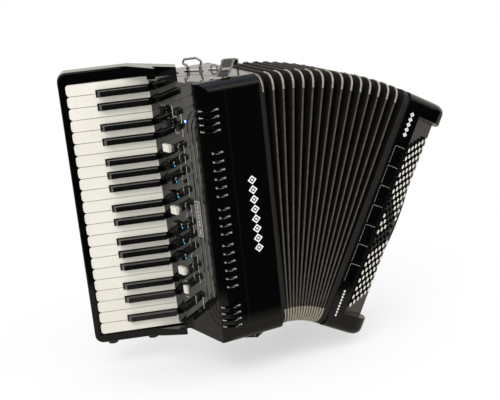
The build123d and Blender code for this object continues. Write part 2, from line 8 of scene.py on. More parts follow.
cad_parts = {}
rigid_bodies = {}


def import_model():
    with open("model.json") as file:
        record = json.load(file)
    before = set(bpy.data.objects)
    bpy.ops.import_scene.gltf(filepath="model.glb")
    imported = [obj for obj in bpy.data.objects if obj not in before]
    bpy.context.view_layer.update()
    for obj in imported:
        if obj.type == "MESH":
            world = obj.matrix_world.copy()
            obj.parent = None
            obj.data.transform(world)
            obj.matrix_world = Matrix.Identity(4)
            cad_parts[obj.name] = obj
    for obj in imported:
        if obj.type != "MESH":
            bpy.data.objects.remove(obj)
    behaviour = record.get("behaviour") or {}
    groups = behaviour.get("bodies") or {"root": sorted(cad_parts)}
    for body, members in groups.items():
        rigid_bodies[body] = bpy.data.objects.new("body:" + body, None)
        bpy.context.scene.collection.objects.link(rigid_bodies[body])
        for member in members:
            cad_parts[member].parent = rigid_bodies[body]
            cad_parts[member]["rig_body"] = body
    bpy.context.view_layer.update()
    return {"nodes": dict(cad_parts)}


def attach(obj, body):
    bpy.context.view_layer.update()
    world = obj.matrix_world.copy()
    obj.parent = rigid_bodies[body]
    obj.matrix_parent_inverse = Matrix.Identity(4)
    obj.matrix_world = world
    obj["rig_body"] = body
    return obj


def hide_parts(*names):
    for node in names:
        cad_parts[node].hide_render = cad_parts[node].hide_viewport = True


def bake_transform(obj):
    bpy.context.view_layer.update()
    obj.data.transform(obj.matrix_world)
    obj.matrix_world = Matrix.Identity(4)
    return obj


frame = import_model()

# ---- places: the working frame of the CAD in millimetres, and its local planes ----
ROW_SHIFT = Vector((35.0, -96.0, 0.0))
TREBLE_HALF = 207.0
BELLOWS_DEPTH, BELLOWS_HEIGHT, BELLOWS_ROUND = 188.0, 406.0, 20.0
BELLOWS_Z0 = -203.0
FOLDS, FOLD_PITCH, FOLD_HALF, FAN_STEP = 14, 4.1, 1.7, 29.5 / 15
PLEAT_DEPTH = 23.0
ARC_STEPS, LONG_CUTS, SHORT_CUTS = 8, 10, 5     # steps of a bellows corner, and of its long and short sides
SLEEVE_R = 3.9                                  # middle of the bellows strap where it wraps round its bar
BAND_Y, THREAD_Y = 9.4, 7.4                     # pale band and stitches of the bellows strap, from its middle
HAND_STRAP = (114.5, 147.0, 168)                # its bow: x at the ends, x at the crest, half length
BUTTON_ROWS, BUTTON_PITCH = 20, 14.3
COLUMN_PITCH, COLUMN_SHIFT = 12.4, 5.9
BUTTON_TOP = -4.7                               # outer end of the bass buttons, from the deck
FRONT = -95.0                                   # front of the treble body and of the bass cheeks
SEAM_HEIGHT = 0.12
FLOOR_Z = -0.2745                               # metres


def fan_lines():
    """Place and turn of each bellows line, from the treble frame (0) to the bass frame (15)."""
    x, z, turn = 7.0, BELLOWS_Z0, 0.0
    lines = [(x, z, turn)]
    for _ in range(FOLDS + 1):
        x += FOLD_PITCH / 2 * math.cos(math.radians(turn))
        z -= FOLD_PITCH / 2 * math.sin(math.radians(turn))
        turn += FAN_STEP
        x += FOLD_PITCH / 2 * math.cos(math.radians(turn))
        z -= FOLD_PITCH / 2 * math.sin(math.radians(turn))
        lines.append((x, z, turn))
    return lines


def plane(origin, x_dir):
    """Upright local plane: first axis x_dir, third axis +Z, second axis across."""
    x = Vector((x_dir[0], x_dir[1], 0)).normalized()
    y = Vector((-x.y, x.x, 0))
    turn = Matrix((x, y, (0, 0, 1))).transposed().to_4x4()
    return Matrix.Translation(origin) @ turn


LINES = fan_lines()
AT_LINE = [Matrix.Translation((x, 0, z)) @ Matrix.Rotation(math.radians(turn), 4, "Y")
           for x, z, turn in LINES]
BASS = AT_LINE[-1] @ Matrix.Translation((0, 0, BELLOWS_HEIGHT / 2))
SIDE = plane((-101, -83, 0), (-0.1706, 0.9853))
DECK = BASS @ plane((33.5, -91, 0), (0.8095, 0.5872))
STRAP = plane((-13, -26, 221), (-0.5755, -0.8178))
HERE = Matrix.Identity(4)
FLIP_Z = Matrix.Scale(-1, 4, (0, 0, 1))


# ---- materials ----
class Finish:
    """A procedural material under construction, with short calls for its nodes."""

    def __init__(self, name):
        self.material = bpy.data.materials.new(name)
        self.material.use_nodes = True
        self.tree = self.material.node_tree
        self.skin = self.tree.nodes["Principled BSDF"]
        self.place = self.node("ShaderNodeTexCoord").outputs["Object"]

    def feed(self, node, **inputs):
        for key, value in inputs.items():
            socket = node.inputs[int(key[1:])] if key[1:].isdigit() else node.inputs[key.replace("_", " ")]
            if isinstance(value, bpy.types.NodeSocket):
                self.tree.links.new(value, socket)
            else:
                socket.default_value = value
        return node

    def node(self, kind, settings=None, **inputs):
        made = self.tree.nodes.new(kind)
        for key, value in (settings or {}).items():
            setattr(made, key, value)
        return self.feed(made, **inputs)

    def source(self, factors):
        """Object coordinates, stretched by factors if there are any."""
        if factors is None:
            return self.place
        stretched = self.node("ShaderNodeVectorMath", {"operation": "MULTIPLY"}, i0=self.place, i1=factors)
        return stretched.outputs[0]

    def noise(self, scale, detail=4.0, rough=0.55, factors=None):
        made = self.node("ShaderNodeTexNoise", Vector=self.source(factors), Scale=scale, Detail=detail,
                         Roughness=rough)
        return made.outputs[0]

    def cell_edges(self, scale, factors=None):
        made = self.node("ShaderNodeTexVoronoi", {"feature": "DISTANCE_TO_EDGE"},
                         Vector=self.source(factors), Scale=scale)
        return made.outputs["Distance"]

    def waves(self, scale, direction="Z", distortion=0.0):
        settings = {"wave_type": "BANDS", "bands_direction": direction, "wave_profile": "SIN"}
        made = self.node("ShaderNodeTexWave", settings, Vector=self.place, Scale=scale,
                         Distortion=distortion, Detail=1.0)
        return made.outputs["Fac"]

    def spread(self, value, low, high, start=0.0, end=1.0):
        return self.node("ShaderNodeMapRange", Value=value, From_Min=start, From_Max=end,
                         To_Min=low, To_Max=high).outputs[0]

    def math(self, operation, a, b):
        return self.node("ShaderNodeMath", {"operation": operation}, i0=a, i1=b).outputs[0]

    def tint(self, factor, a, b):
        """Colour a where factor is 0 and b where it is 1; each is a tuple or another node's output."""
        first, second = ((*c, 1) if isinstance(c, tuple) else c for c in (a, b))
        return self.node("ShaderNodeMix", {"data_type": "RGBA"}, i0=factor, i6=first, i7=second).outputs[2]

    def value(self, attribute):
        return self.node("ShaderNodeAttribute", {"attribute_name": attribute}).outputs["Fac"]

    def rounded(self, radius):
        """Shading normal of edges rounded by radius, in metres, and a mask that is 1 on those edges."""
        soft = self.node("ShaderNodeBevel", {"samples": 4}, Radius=radius).outputs[0]
        hard = self.node("ShaderNodeNewGeometry").outputs["Normal"]
        dot = self.node("ShaderNodeVectorMath", {"operation": "DOT_PRODUCT"}, i0=soft, i1=hard)
        return soft, self.spread(dot.outputs["Value"], 1.0, 0.0, 0.86, 0.995)

    def bump(self, height, strength, distance, normal=None):
        made = self.node("ShaderNodeBump", Height=height, Strength=strength, Distance=distance)
        if normal is not None:
            self.feed(made, Normal=normal)
        return made.outputs[0]

    def done(self, **inputs):
        self.feed(self.skin, **inputs)
        return self.material


def gloss_black(name, edge=0.0007, base=0.0016, wear=0.022):
    """Lacquer with smudges and fine scratches, greyer along its edges."""
    f = Finish(name)
    soft, rim = f.rounded(edge)
    smudge = f.noise(26, 6, 0.65)
    scratches = f.noise(900, 2, 0.6, (1, 1, 0.04))
    rough = f.spread(f.math("ADD", smudge, f.math("MULTIPLY", scratches, 0.35)), 0.02, 0.1, 0.35, 1.1)
    rough = f.math("ADD", rough, f.math("MULTIPLY", rim, 0.1))
    color = f.tint(f.math("MULTIPLY", rim, 0.6), (base, base, base * 1.05), (wear, wear, wear))
    return f.done(Base_Color=color, Roughness=rough, IOR=1.5, Coat_Weight=0.35, Coat_Roughness=0.03,
                  Normal=f.bump(f.noise(420, 2), 0.015, 0.0004, soft))


def ivory(name):
    """Moulded cream plastic with faint clouds and grain."""
    f = Finish(name)
    soft, rim = f.rounded(0.0006)
    grain = f.noise(60, 5, 0.6, (1, 1, 9))
    clouds = f.noise(9, 3)
    color = f.tint(f.spread(clouds, 0, 1, 0.3, 0.7), (0.80, 0.78, 0.71), (0.74, 0.71, 0.63))
    color = f.tint(f.math("MULTIPLY", f.spread(grain, 0, 1, 0.45, 0.75), 0.35), color, (0.74, 0.70, 0.60))
    color = f.tint(f.math("MULTIPLY", rim, 0.35), color, (0.62, 0.58, 0.48))
    return f.done(Base_Color=color, Roughness=f.spread(grain, 0.16, 0.34), IOR=1.5, Coat_Weight=0.25,
                  Coat_Roughness=0.12, Normal=f.bump(grain, 0.06, 0.0003, soft))


def satin_black(name, low=0.16, high=0.34, base=(0.012, 0.012, 0.012)):
    """Dark moulded plastic; low and high are the ends of its roughness."""
    f = Finish(name)
    soft, rim = f.rounded(0.0005)
    speck = f.noise(700, 3)
    color = f.tint(f.math("MULTIPLY", rim, 0.5), base, (0.07, 0.068, 0.065))
    return f.done(Base_Color=color, Roughness=f.spread(f.noise(80, 4), low, high), IOR=1.5,
                  Normal=f.bump(speck, 0.12, 0.0002, soft))


def metal(name, color, low, high, brushed=(1, 1, 1), warm=None):
    """Metal with streaks; brushed stretches them, and warm is the colour of its tarnish."""
    f = Finish(name)
    soft, rim = f.rounded(0.0003)
    streak = f.noise(500, 4, 0.6, brushed)
    shade = f.tint(f.spread(f.noise(45, 4), 0, 1, 0.35, 0.7), color, warm or tuple(0.8 * c for c in color))
    shade = f.tint(f.math("MULTIPLY", rim, 0.4), shade, tuple(min(1.0, 1.15 * c) for c in color))
    return f.done(Base_Color=shade, Metallic=1.0, Roughness=f.spread(streak, low, high, 0.3, 0.7),
                  Normal=f.bump(streak, 0.05, 0.0001, soft))


def leather(name, dark=(0.022, 0.021, 0.021), light=(0.06, 0.057, 0.055)):
    """Pored leather, paler along its creases."""
    f = Finish(name)
    pores = f.cell_edges(620)
    creases = f.noise(75, 6, 0.7, (1, 2.2, 1))
    height = f.math("ADD", f.spread(pores, 0, 1, 0, 0.35), f.math("MULTIPLY", creases, 0.7))
    color = f.tint(f.spread(creases, 0, 1, 0.35, 0.75), dark, light)
    return f.done(Base_Color=color, Roughness=f.spread(creases, 0.42, 0.66), Specular_IOR_Level=0.3,
                  Normal=f.bump(height, 0.5, 0.0006))


def bellows_cloth(name):
    """Woven cloth: worn grey-brown tape, kept to a thin band on the ridge's crest as a painted highlight, and
    a dark lining down in the fold.
    """
    f = Finish(name)
    depth = f.value("depth")
    weave = f.math("MULTIPLY", f.waves(520, "Z"), f.waves(520, "Y"))
    fray = f.noise(210, 5, 0.7)
    tape_and_crest_highlight = f.tint(f.spread(fray, 0, 1, 0.35, 0.7), (0.052, 0.045, 0.036), (0.105, 0.094, 0.078))
    lining = f.tint(fray, (0.004, 0.0035, 0.003), (0.009, 0.0075, 0.006))
    # tape colour only within about 1 mm of the crest: a painted highlight along each ridge
    color = f.tint(f.spread(depth, 0, 1, 0.25, 1.3), tape_and_crest_highlight, lining)
    return f.done(Base_Color=color, Roughness=f.spread(fray, 0.5, 0.78), Specular_IOR_Level=0.25,
                  Normal=f.bump(f.math("ADD", weave, fray), 0.35, 0.0005))


def corner_metal(name):
    """Corner clips: metal colour along the crest, darkened down their sides into the fold as painted shade.
    """
    f = Finish(name)
    depth = f.value("depth")
    streak = f.noise(160, 5, 0.7)
    bright = f.tint(f.spread(streak, 0, 1, 0.35, 0.7), (0.62, 0.58, 0.49), (0.42, 0.38, 0.30))
    # painted shade: the clip turns near-black with depth below its crest
    color = f.tint(f.spread(depth, 0, 1, -0.1, 1.4), bright, (0.03, 0.027, 0.022))
    return f.done(Base_Color=color, Metallic=0.6, Roughness=f.spread(streak, 0.25, 0.45),
                  Normal=f.bump(streak, 0.08, 0.0002))


def ribbed_frame(name):
    """Black lacquered frame with fine ribs across its edge."""
    f = Finish(name)
    ribs = f.waves(105, "Z", 0.3)
    color = f.tint(ribs, (0.004, 0.004, 0.004), (0.024, 0.022, 0.02))
    return f.done(Base_Color=color, Roughness=f.spread(f.noise(60, 4), 0.22, 0.4),
                  Specular_IOR_Level=0.3, Normal=f.bump(ribs, 0.5, 0.0008))


def rubber(name):
    """Dull crumbly rubber."""
    f = Finish(name)
    crumb = f.noise(900, 4, 0.7)
    color = f.tint(f.noise(40, 3), (0.016, 0.016, 0.016), (0.035, 0.034, 0.033))
    return f.done(Base_Color=color, Roughness=f.spread(crumb, 0.6, 0.85), Normal=f.bump(crumb, 0.4, 0.0003))


def board(name):
    """Green circuit board with a net of tracks."""
    f = Finish(name)
    tracks = f.cell_edges(260, (1, 1, 0.5))
    color = f.tint(f.spread(tracks, 1, 0, 0.01, 0.05), (0.012, 0.075, 0.035), (0.03, 0.16, 0.08))
    return f.done(Base_Color=color, Roughness=f.spread(f.noise(120, 3), 0.25, 0.5),
                  Normal=f.bump(tracks, 0.2, 0.0002))


def glass(name):
    """Display window: dark glass over a faint pale panel."""
    f = Finish(name)
    glow = f.noise(14, 2)
    color = f.tint(glow, (0.03, 0.03, 0.029), (0.07, 0.07, 0.066))
    return f.done(Base_Color=color, Roughness=f.spread(f.noise(60, 4), 0.03, 0.09), IOR=1.5, Coat_Weight=1.0,
                  Coat_Roughness=0.02)


def ink(name, color, glow=0.0):
    """Printed or painted mark with faint flecks, and light of its own if glow is above 0."""
    f = Finish(name)
    fleck = f.noise(1500, 3, 0.7)
    shade = f.tint(f.spread(fleck, 0, 1, 0.5, 0.8), color, tuple(0.75 * c for c in color))
    return f.done(Base_Color=shade, Roughness=f.spread(fleck, 0.25, 0.45), Emission_Color=(*color, 1),
                  Emission_Strength=glow, Normal=f.bump(fleck, 0.08, 0.0001))


BLACK = gloss_black("black_lacquer")
BLACK_KEY = gloss_black("black_key", 0.0006, 0.005, 0.02)
IVORY = ivory("ivory_plastic")
CAP_WHITE = ivory("button_cap")
SATIN = satin_black("satin_black")
CHROME = metal("polished_chrome", (0.86, 0.86, 0.87), 0.05, 0.16)
STEEL = metal("brushed_steel", (0.55, 0.55, 0.56), 0.2, 0.38, (1, 1, 8))
BRASS = metal("brass", (0.80, 0.62, 0.30), 0.15, 0.3)
NICKEL = metal("warm_nickel", (0.80, 0.76, 0.66), 0.2, 0.36, (1, 1, 4), (0.62, 0.57, 0.46))
LEATHER = leather("dark_leather")
LEATHER_EDGE = leather("leather_edge", (0.16, 0.155, 0.15), (0.27, 0.265, 0.26))
THREAD = ink("pale_thread", (0.42, 0.40, 0.37))
CLOTH = bellows_cloth("bellows_cloth")
CORNER = corner_metal("corner_metal")
DULL = metal("dull_metal", (0.16, 0.155, 0.145), 0.3, 0.5)
# flat pale colour for painted glints on the slot ends and on the bass tab edges
PAINTED_GLINT = ink("painted_glint", (0.42, 0.41, 0.39))
GROOVE = ink("groove_shine", (0.30, 0.29, 0.27))
SEAM = satin_black("seam_shadow", 0.7, 0.9, (0.001, 0.001, 0.001))
RIBBED = ribbed_frame("ribbed_frame")
RUBBER = rubber("rubber")
CIRCUIT = board("circuit_board")
GLASS = glass("display_glass")
SPEAKER = satin_black("speaker_basket", 0.4, 0.6, (0.05, 0.05, 0.055))
BATTERY = satin_black("battery_sleeve", 0.25, 0.4, (0.05, 0.08, 0.2))
# white ink with a faint glow of its own: painted light, since the inlays are no lamp
GLOWING_WHITE_INK = ink("white_ink_painted_glow", (0.80, 0.79, 0.76), 0.12)
PRINT = ink("panel_print", (0.52, 0.51, 0.48))
# blue ink with a glow of its own: painted light, since the printed marks are no lamp
GLOWING_BLUE_INK = ink("blue_ink_painted_glow", (0.05, 0.42, 0.72), 0.5)
LED = ink("blue_led", (0.12, 0.35, 1.0), 6.0)

NODE_FINISH = {
    IVORY: ("register_tabs_white", "recall_button"),
    BLACK_KEY: ("bass_buttons_single", "bass_buttons_chord"),
    SATIN: ("selector_buttons", "volume_knob", "balance_knob", "strap_wheel", "air_button"),
    CHROME: ("strap_brackets", "treble_screws"),
    STEEL: ("key_axle", "key_springs"),
    RIBBED: ("treble_bellows_frame", "bass_bellows_frame"),
    RUBBER: ("treble_feet", "bass_feet"),
    CIRCUIT: ("key_sensor_board", "main_board", "bass_sensor_board"),
    GLASS: ("display_window",),
    SPEAKER: ("treble_speakers",),
    BATTERY: ("battery_pack",),
}


def node_finish(name):
    """Material of a CAD node: black lacquer unless it is a key or listed above."""
    if name.startswith("white_keys"):
        return IVORY
    if name.startswith("black_keys"):
        return BLACK_KEY
    for finish, names in NODE_FINISH.items():
        if name in names:
            return finish
    return BLACK


def paint_nodes():
    for name, node in frame["nodes"].items():
        node.data.materials.clear()
        node.data.materials.append(node_finish(name))


# ---- meshes ----
class Shape:
    """Vertices in millimetres of the CAD's working frame, and faces, from which a piece is made."""

    def __init__(self):
        self.points, self.faces, self.values = [], [], []

    def add(self, matrix, points, faces, values=None):
        start = len(self.points)
        self.points += [matrix @ Vector(p) for p in points]
        self.values += list(values) if values else [0.0] * len(points)
        self.faces += [[start + n for n in face] for face in faces]
        return self

    def rings(self, matrix, rings, closed=True, values=None):
        """Skin over rings of equal size; closed joins the last to the first, else both ends are capped."""
        size, count = len(rings[0]), len(rings)
        faces = []
        for i in range(count if closed else count - 1):
            a, b = i * size, (i + 1) % count * size
            faces += [(a + j, a + (j + 1) % size, b + (j + 1) % size, b + j) for j in range(size)]
        if not closed:
            faces += [tuple(range(size)), tuple(range((count - 1) * size, count * size))]
        return self.add(matrix, [p for ring in rings for p in ring], faces, values)

    def box(self, matrix, low, high):
        points = [(x, y, z) for x in (low[0], high[0]) for y in (low[1], high[1]) for z in (low[2], high[2])]
        faces = [(0, 1, 3, 2), (4, 6, 7, 5), (0, 4, 5, 1), (2, 3, 7, 6), (0, 2, 6, 4), (1, 5, 7, 3)]
        return self.add(matrix, points, faces)

    def turned(self, matrix, profile, steps=20):
        """Solid of revolution about local Y; profile holds (radius, y) from one end to the other."""
        angles = [2 * math.pi * k / steps for k in range(steps)]
        rings = [[(r * math.cos(a), y, r * math.sin(a)) for a in angles] for r, y in profile]
        return self.rings(matrix, rings, closed=False)

    def piece(self, name, material, body, slot, smooth=35.0, bevel=0.0, blend=None):
        """Blender object of this shape, riding on a body, or left in place on no body if blend is given;
        bevel is in millimetres.
        """
        mesh = bpy.data.meshes.new(name)
        mesh.from_pydata([(p + ROW_SHIFT) * 0.001 for p in self.points], [], self.faces)
        mesh.attributes.new("depth", "FLOAT", "POINT").data.foreach_set("value", self.values)
        cleaner = bmesh.new()
        cleaner.from_mesh(mesh)
        bmesh.ops.recalc_face_normals(cleaner, faces=cleaner.faces)
        cleaner.to_mesh(mesh)
        cleaner.free()
        for face in mesh.polygons:
            face.use_smooth = True
        mesh.set_sharp_from_angle(angle=math.radians(smooth))
        mesh.materials.append(material)
        made = bpy.data.objects.new(name, mesh)
        bpy.context.scene.collection.objects.link(made)
        if bevel:
            modifier = made.modifiers.new("rounding", "BEVEL")
            modifier.width, modifier.segments, modifier.limit_method = bevel * 0.001, 2, "ANGLE"
        if blend:
            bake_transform(made)
        else:
            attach(made, body)
        return made


# ---- bellows ----
def side_cuts(n):
    """Number of stretches on the straight side that follows corner n; the even ones are the short sides."""
    return SHORT_CUTS if n % 2 == 0 else LONG_CUTS


def outline(inset):
    """Points (y, z) of the bellows outline moved inwards, always the same number in the same order."""
    radius = max(BELLOWS_ROUND - inset, 0.8)
    half_y, half_z = BELLOWS_DEPTH / 2 - inset - radius, BELLOWS_HEIGHT / 2 - inset - radius
    corners = ((1, 1), (-1, 1), (-1, -1), (1, -1))

    def rounded(corner, angle):
        y, z = corners[corner % 4]
        return Vector((y * half_y + radius * math.cos(angle), z * half_z + radius * math.sin(angle)))

    points = []
    for n in range(4):
        points += [rounded(n, math.pi / 2 * (n + k / ARC_STEPS)) for k in range(ARC_STEPS + 1)]
        last, following = points[-1], rounded(n + 1, math.pi / 2 * (n + 1))
        points += [last.lerp(following, k / side_cuts(n)) for k in range(1, side_cuts(n))]
    return [(y + 0.5, z + BELLOWS_HEIGHT / 2) for y, z in points]


def hoop(section):
    """Rings of a closed section (x, inset) carried round the outline, and the inset of each point."""
    loops = [outline(inset) for _, inset in section]
    rings = [[(section[i][0], *loops[i][k]) for i in range(len(section))] for k in range(len(loops[0]))]
    return rings, [inset for _ in rings for _, inset in section]


def make_ridge(n):
    """Cloth-covered edge of one fold, which stands for the fold's plain hoop in the CAD."""
    section = [(-1.35, 6.0), (-1.7, 2.4), (-1.62, 1.2), (-1.2, 0.45), (-0.5, 0.08), (0.5, 0.08), (1.2, 0.45),
               (1.62, 1.2), (1.7, 2.4), (1.35, 6.0)]
    rings, depths = hoop(section)
    shape = Shape().rings(AT_LINE[n], rings, values=depths)
    ridge = shape.piece(f"bellows_ridge_{n:02d}", CLOTH, f"fold_{n:02d}", "bellows_cloth", 60)
    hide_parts(f"bellows_fold_{n:02d}")


def make_clips(matrix, name, body, leg=9.0, reach=4.6, half=1.85, sheet=0.35):
    """Four thin metal clips folded over the corners of a bellows edge, with a leg along either side.

    The second leg starts one step back from the corner's end, so it is a little shorter than the first.
    """
    section = [(-half, reach), (-half, 0.9), (-half * 0.68, 0.0), (-0.6, -0.32), (0.6, -0.32),
               (half * 0.68, 0.0), (half, 0.9), (half, reach), (half - sheet, reach), (half - sheet, 1.2),
               (0.5, 0.1), (-0.5, 0.1), (sheet - half, 1.2), (sheet - half, reach)]
    loops = [outline(inset) for _, inset in section]
    crest = [Vector(point) for point in loops[3]]

    def leg_end(ring, step):
        reach_y, reach_z = step.normalized() * leg
        return [(x, y + reach_y, z + reach_z) for x, y, z in ring]

    shape = Shape()
    first = 0
    for n in range(4):
        last = first + ARC_STEPS
        rings = [[(x, *loop[k]) for (x, _), loop in zip(section, loops)] for k in range(first, last + 1)]
        rings = [leg_end(rings[0], crest[first] - crest[first + 1]), *rings,
                 leg_end(rings[-2], crest[last] - crest[last - 1])]
        depths = [inset for _ in rings for _, inset in section]
        shape.rings(matrix, rings, closed=False, values=depths)
        first = last + side_cuts(n)
    shape.piece(name, CORNER, body, "steel", 50)


def pleat_section(steps=9):
    """(share across, inset) of a pleat from one ridge to the next, and back along its inner side."""
    outer = [(0.5 * (k / steps) ** 0.8, 0.9 + PLEAT_DEPTH * (k / steps) ** 1.35) for k in range(steps + 1)]
    outer += [(1 - share, depth) for share, depth in reversed(outer[:-1])]
    inner = [(share, depth + 0.8) for share, depth in reversed(outer)]
    return outer + inner


def make_pleat(n):
    """Cloth between line n - 1 and line n, built in its rest shape."""
    section = pleat_section()
    loops = [outline(depth) for _, depth in section]
    rings = []
    for k in range(len(loops[0])):
        ring = []
        for i, (share, _) in enumerate(section):
            y, z = loops[i][k]
            a = AT_LINE[n - 1] @ Vector((FOLD_HALF - 0.25, y, z))
            b = AT_LINE[n] @ Vector((-FOLD_HALF + 0.25, y, z))
            ring.append(a.lerp(b, share))
        rings.append(ring)
    shape = Shape().rings(HERE, rings, values=[depth for _ in rings for _, depth in section])
    first = "treble" if n == 1 else f"fold_{n - 1:02d}"
    last = "bass" if n == FOLDS + 1 else f"fold_{n:02d}"
    middle = Vector((0, 0, BELLOWS_HEIGHT * 0.55))
    start, end = ((line @ middle + ROW_SHIFT) * 0.001 for line in AT_LINE[n - 1:n + 1])
    shape.piece(f"bellows_pleat_{n:02d}", CLOTH, None, "bellows_cloth", 50, blend=(first, last, start, end))


def make_piping(matrix, x, radius, name, body):
    """Pale bead that runs round the edge of a bellows frame."""
    angles = [math.pi / 4 * k for k in range(8)]
    section = [(x + radius * math.cos(a), radius * (0.4 - math.sin(a)) - 0.15) for a in angles]
    rings, depths = hoop(section)
    Shape().rings(matrix, rings, values=depths).piece(name, DULL, body, "steel", 60)


def make_bellows():
    for n in range(1, FOLDS + 1):
        make_ridge(n)
        make_clips(AT_LINE[n], f"corner_clips_{n:02d}", f"fold_{n:02d}")
    for n in range(1, FOLDS + 2):
        make_pleat(n)
    treble_frame = Matrix.Translation((0, 0, BELLOWS_Z0))
    make_piping(treble_frame, 8.2, 0.9, "frame_piping_treble", "treble")
    make_clips(treble_frame @ Matrix.Translation((6.6, 0, 0)), "frame_clips_treble", "treble")
    make_piping(AT_LINE[-1], -1.2, 0.9, "frame_piping_bass", "bass")
    for n, x in enumerate((1.6, 4.0, 6.4)):
        make_piping(AT_LINE[-1], x, 0.35, f"bass_frame_rib_{n + 1}", "bass")


# ---- straps ----
def strap_path():
    """Middle line (x, z) of a bellows strap: a sleeve round its bar, then the slope down to the snaps."""
    sleeve = [math.radians(a) for a in range(200, 0, -25)]
    path = [(-SLEEVE_R * math.sin(a), SLEEVE_R * math.cos(a)) for a in sleeve]
    return path, [(0, 3.9), (8, 3.4), (16, 2.1), (28, -1.2), (40, -4.4), (52, -7.6), (60, -9.6), (68, -10.9)]


def height_on(path, x):
    """Height z of a path at x."""
    for (xa, za), (xb, zb) in zip(path, path[1:]):
        if xa <= x <= xb:
            return za + (zb - za) * (x - xa) / (xb - xa)
    raise ValueError(f"no point of the path is at {x}")


def make_strap_leather(place, body, name, path):
    rings = []
    for k, (x, z) in enumerate(path):
        before, after = path[max(k - 1, 0)], path[min(k + 1, len(path) - 1)]
        along = Vector((after[0] - before[0], after[1] - before[1])).normalized()
        up = Vector((-along.y, along.x))
        half = 10.0 if k < len(path) - 1 else 8.6
        section = [(-half, -0.7), (-half + 0.7, -1.2), (half - 0.7, -1.2), (half, -0.7), (half, 0.6),
                   (half - 0.9, 1.15), (half - 3, 1.25), (0, 1.35), (-half + 3, 1.25), (-half + 0.9, 1.15),
                   (-half, 0.6)]
        rings.append([(x + up.x * h, y, z + up.y * h) for y, h in section])
    shape = Shape().rings(place, rings, closed=False)
    strap = shape.piece(f"bellows_strap_leather_{name}", LEATHER, body, "leather", 50)
    strap.modifiers.new("smooth", "SUBSURF").render_levels = 2
    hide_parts(f"bellows_strap_{name}")


def make_strap_edges(place, body, name, slope):
    """Pale raised band and a row of stitches along both edges of the strap's slope."""
    bands, stitches = Shape(), Shape()
    half, stitch, pitch = 0.9, 1.7, 2.85
    for y in (-BAND_Y, BAND_Y):
        rings = [[(x, y - half, z + 0.6), (x, y - half * 0.6, z + 1.75), (x, y + half * 0.6, z + 1.75),
                  (x, y + half, z + 0.6)] for x, z in slope]
        bands.rings(place, rings, closed=False)
    bands.piece(f"strap_edge_band_{name}", LEATHER_EDGE, body, "leather", 50)
    for y in (-THREAD_Y, THREAD_Y):
        for n in range(22):
            x = 4 + n * pitch
            z = height_on(slope, x)
            stitches.box(place, (x, y - 0.25, z + 0.9), (x + stitch, y + 0.25, z + 1.6))
    stitches.piece(f"strap_stitches_{name}", THREAD, body, "leather")


def make_strap_metal(place, body, name):
    """Name plate without lettering, curved crest plate over the bar, rivets and two snaps."""
    plate = Shape()
    tilt = place @ Matrix.Translation((46, 2, -3.6)) @ Matrix.Rotation(math.radians(15), 4, "Y")
    plate.box(tilt, (-4.5, -6.5, -0.5), (4.5, 6.5, 0.8))
    plate.piece(f"strap_plate_{name}", NICKEL, body, "steel", bevel=0.5)

    section = [(5.0, -10.2), (5.8, -9.7), (5.8, 9.7), (5.0, 10.2)]
    rings = []
    for degrees in range(100, -31, -10):
        angle = math.radians(degrees)
        rings.append([(2.0 - math.cos(angle) * r, y, math.sin(angle) * r) for r, y in section])
    crest = Shape().rings(place, rings, closed=False)
    crest.piece(f"strap_crest_plate_{name}", CHROME, body, "chrome", bevel=0.3)

    fittings = Shape()
    snap = [(0.01, 0), (2.0, 0), (2.2, 0.4), (2.2, 1.4), (1.7, 2.6), (1.7, 3.2), (0.01, 3.2)]
    rivet = [(0.01, -0.6), (1.7, -0.6), (1.7, 0.2), (1.2, 0.7), (0.01, 0.9)]
    upright = Matrix.Rotation(math.radians(90), 4, "X")
    for profile, x, y, z in ((snap, 64, -1, -13.8), (snap, 64, 5, -13.8),
                             (rivet, 7, -4, 4.6), (rivet, 7, 4, 4.6)):
        fittings.turned(place @ Matrix.Translation((x, y, z)) @ upright, profile)
    fittings.piece(f"strap_snaps_{name}", BRASS, body, "steel")


def make_bellows_strap(name, place):
    """Leather strap looped over its bar, with a pale edge band, stitches, plates, rivets and snaps."""
    body = f"strap_{name}"
    sleeve, slope = strap_path()
    make_strap_leather(place, body, name, sleeve + slope)
    make_strap_edges(place, body, name, slope)
    make_strap_metal(place, body, name)


def bow_x(z):
    """How far out the middle of the hand strap is at height z."""
    low, high, half = HAND_STRAP
    return low + (high - low) * (1 - (z / half) ** 2)


def make_hand_strap():
    """Leather hand strap with stitched edges and its anchor plates."""
    section = [(12, -0.9), (13, -1.4), (71, -1.4), (72, -0.9), (72, 0.6), (70.6, 1.2), (56, 1.5), (42, 1.6),
               (28, 1.5), (13.4, 1.2), (12, 0.6)]
    heights = [-165 + n * 8.25 for n in range(41)]
    shape = Shape().rings(BASS, [[(bow_x(z) + h, y, z) for y, h in section] for z in heights], closed=False)
    strap = shape.piece("hand_strap_leather", LEATHER, "bass", "leather", 50)
    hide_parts("hand_strap")

    stitches = Shape()
    for y in (15.2, 68.8):
        for n in range(78):
            z = -156 + n * 4
            x = bow_x(z) + 1.0
            stitches.box(BASS, (x, y - 0.3, z), (x + 0.75, y + 0.3, z + 2.5))
    stitches.piece("hand_strap_stitches", THREAD, "bass", "leather")

    anchors = Shape()
    rivet = [(0.01, -1), (3.6, -1), (3.6, 0.6), (2.4, 1.5), (0.01, 1.8)]
    outwards = Matrix.Rotation(math.radians(-90), 4, "Z")
    for z in (-166, 166):
        anchors.box(BASS, (110.1, 18, z - 8.5), (113.4, 66, z + 8.5))
        for y in (26, 58):
            anchors.turned(BASS @ Matrix.Translation((113.4, y, z)) @ outwards, rivet)
    anchors.piece("hand_strap_anchors", CHROME, "bass", "chrome", bevel=0.6)


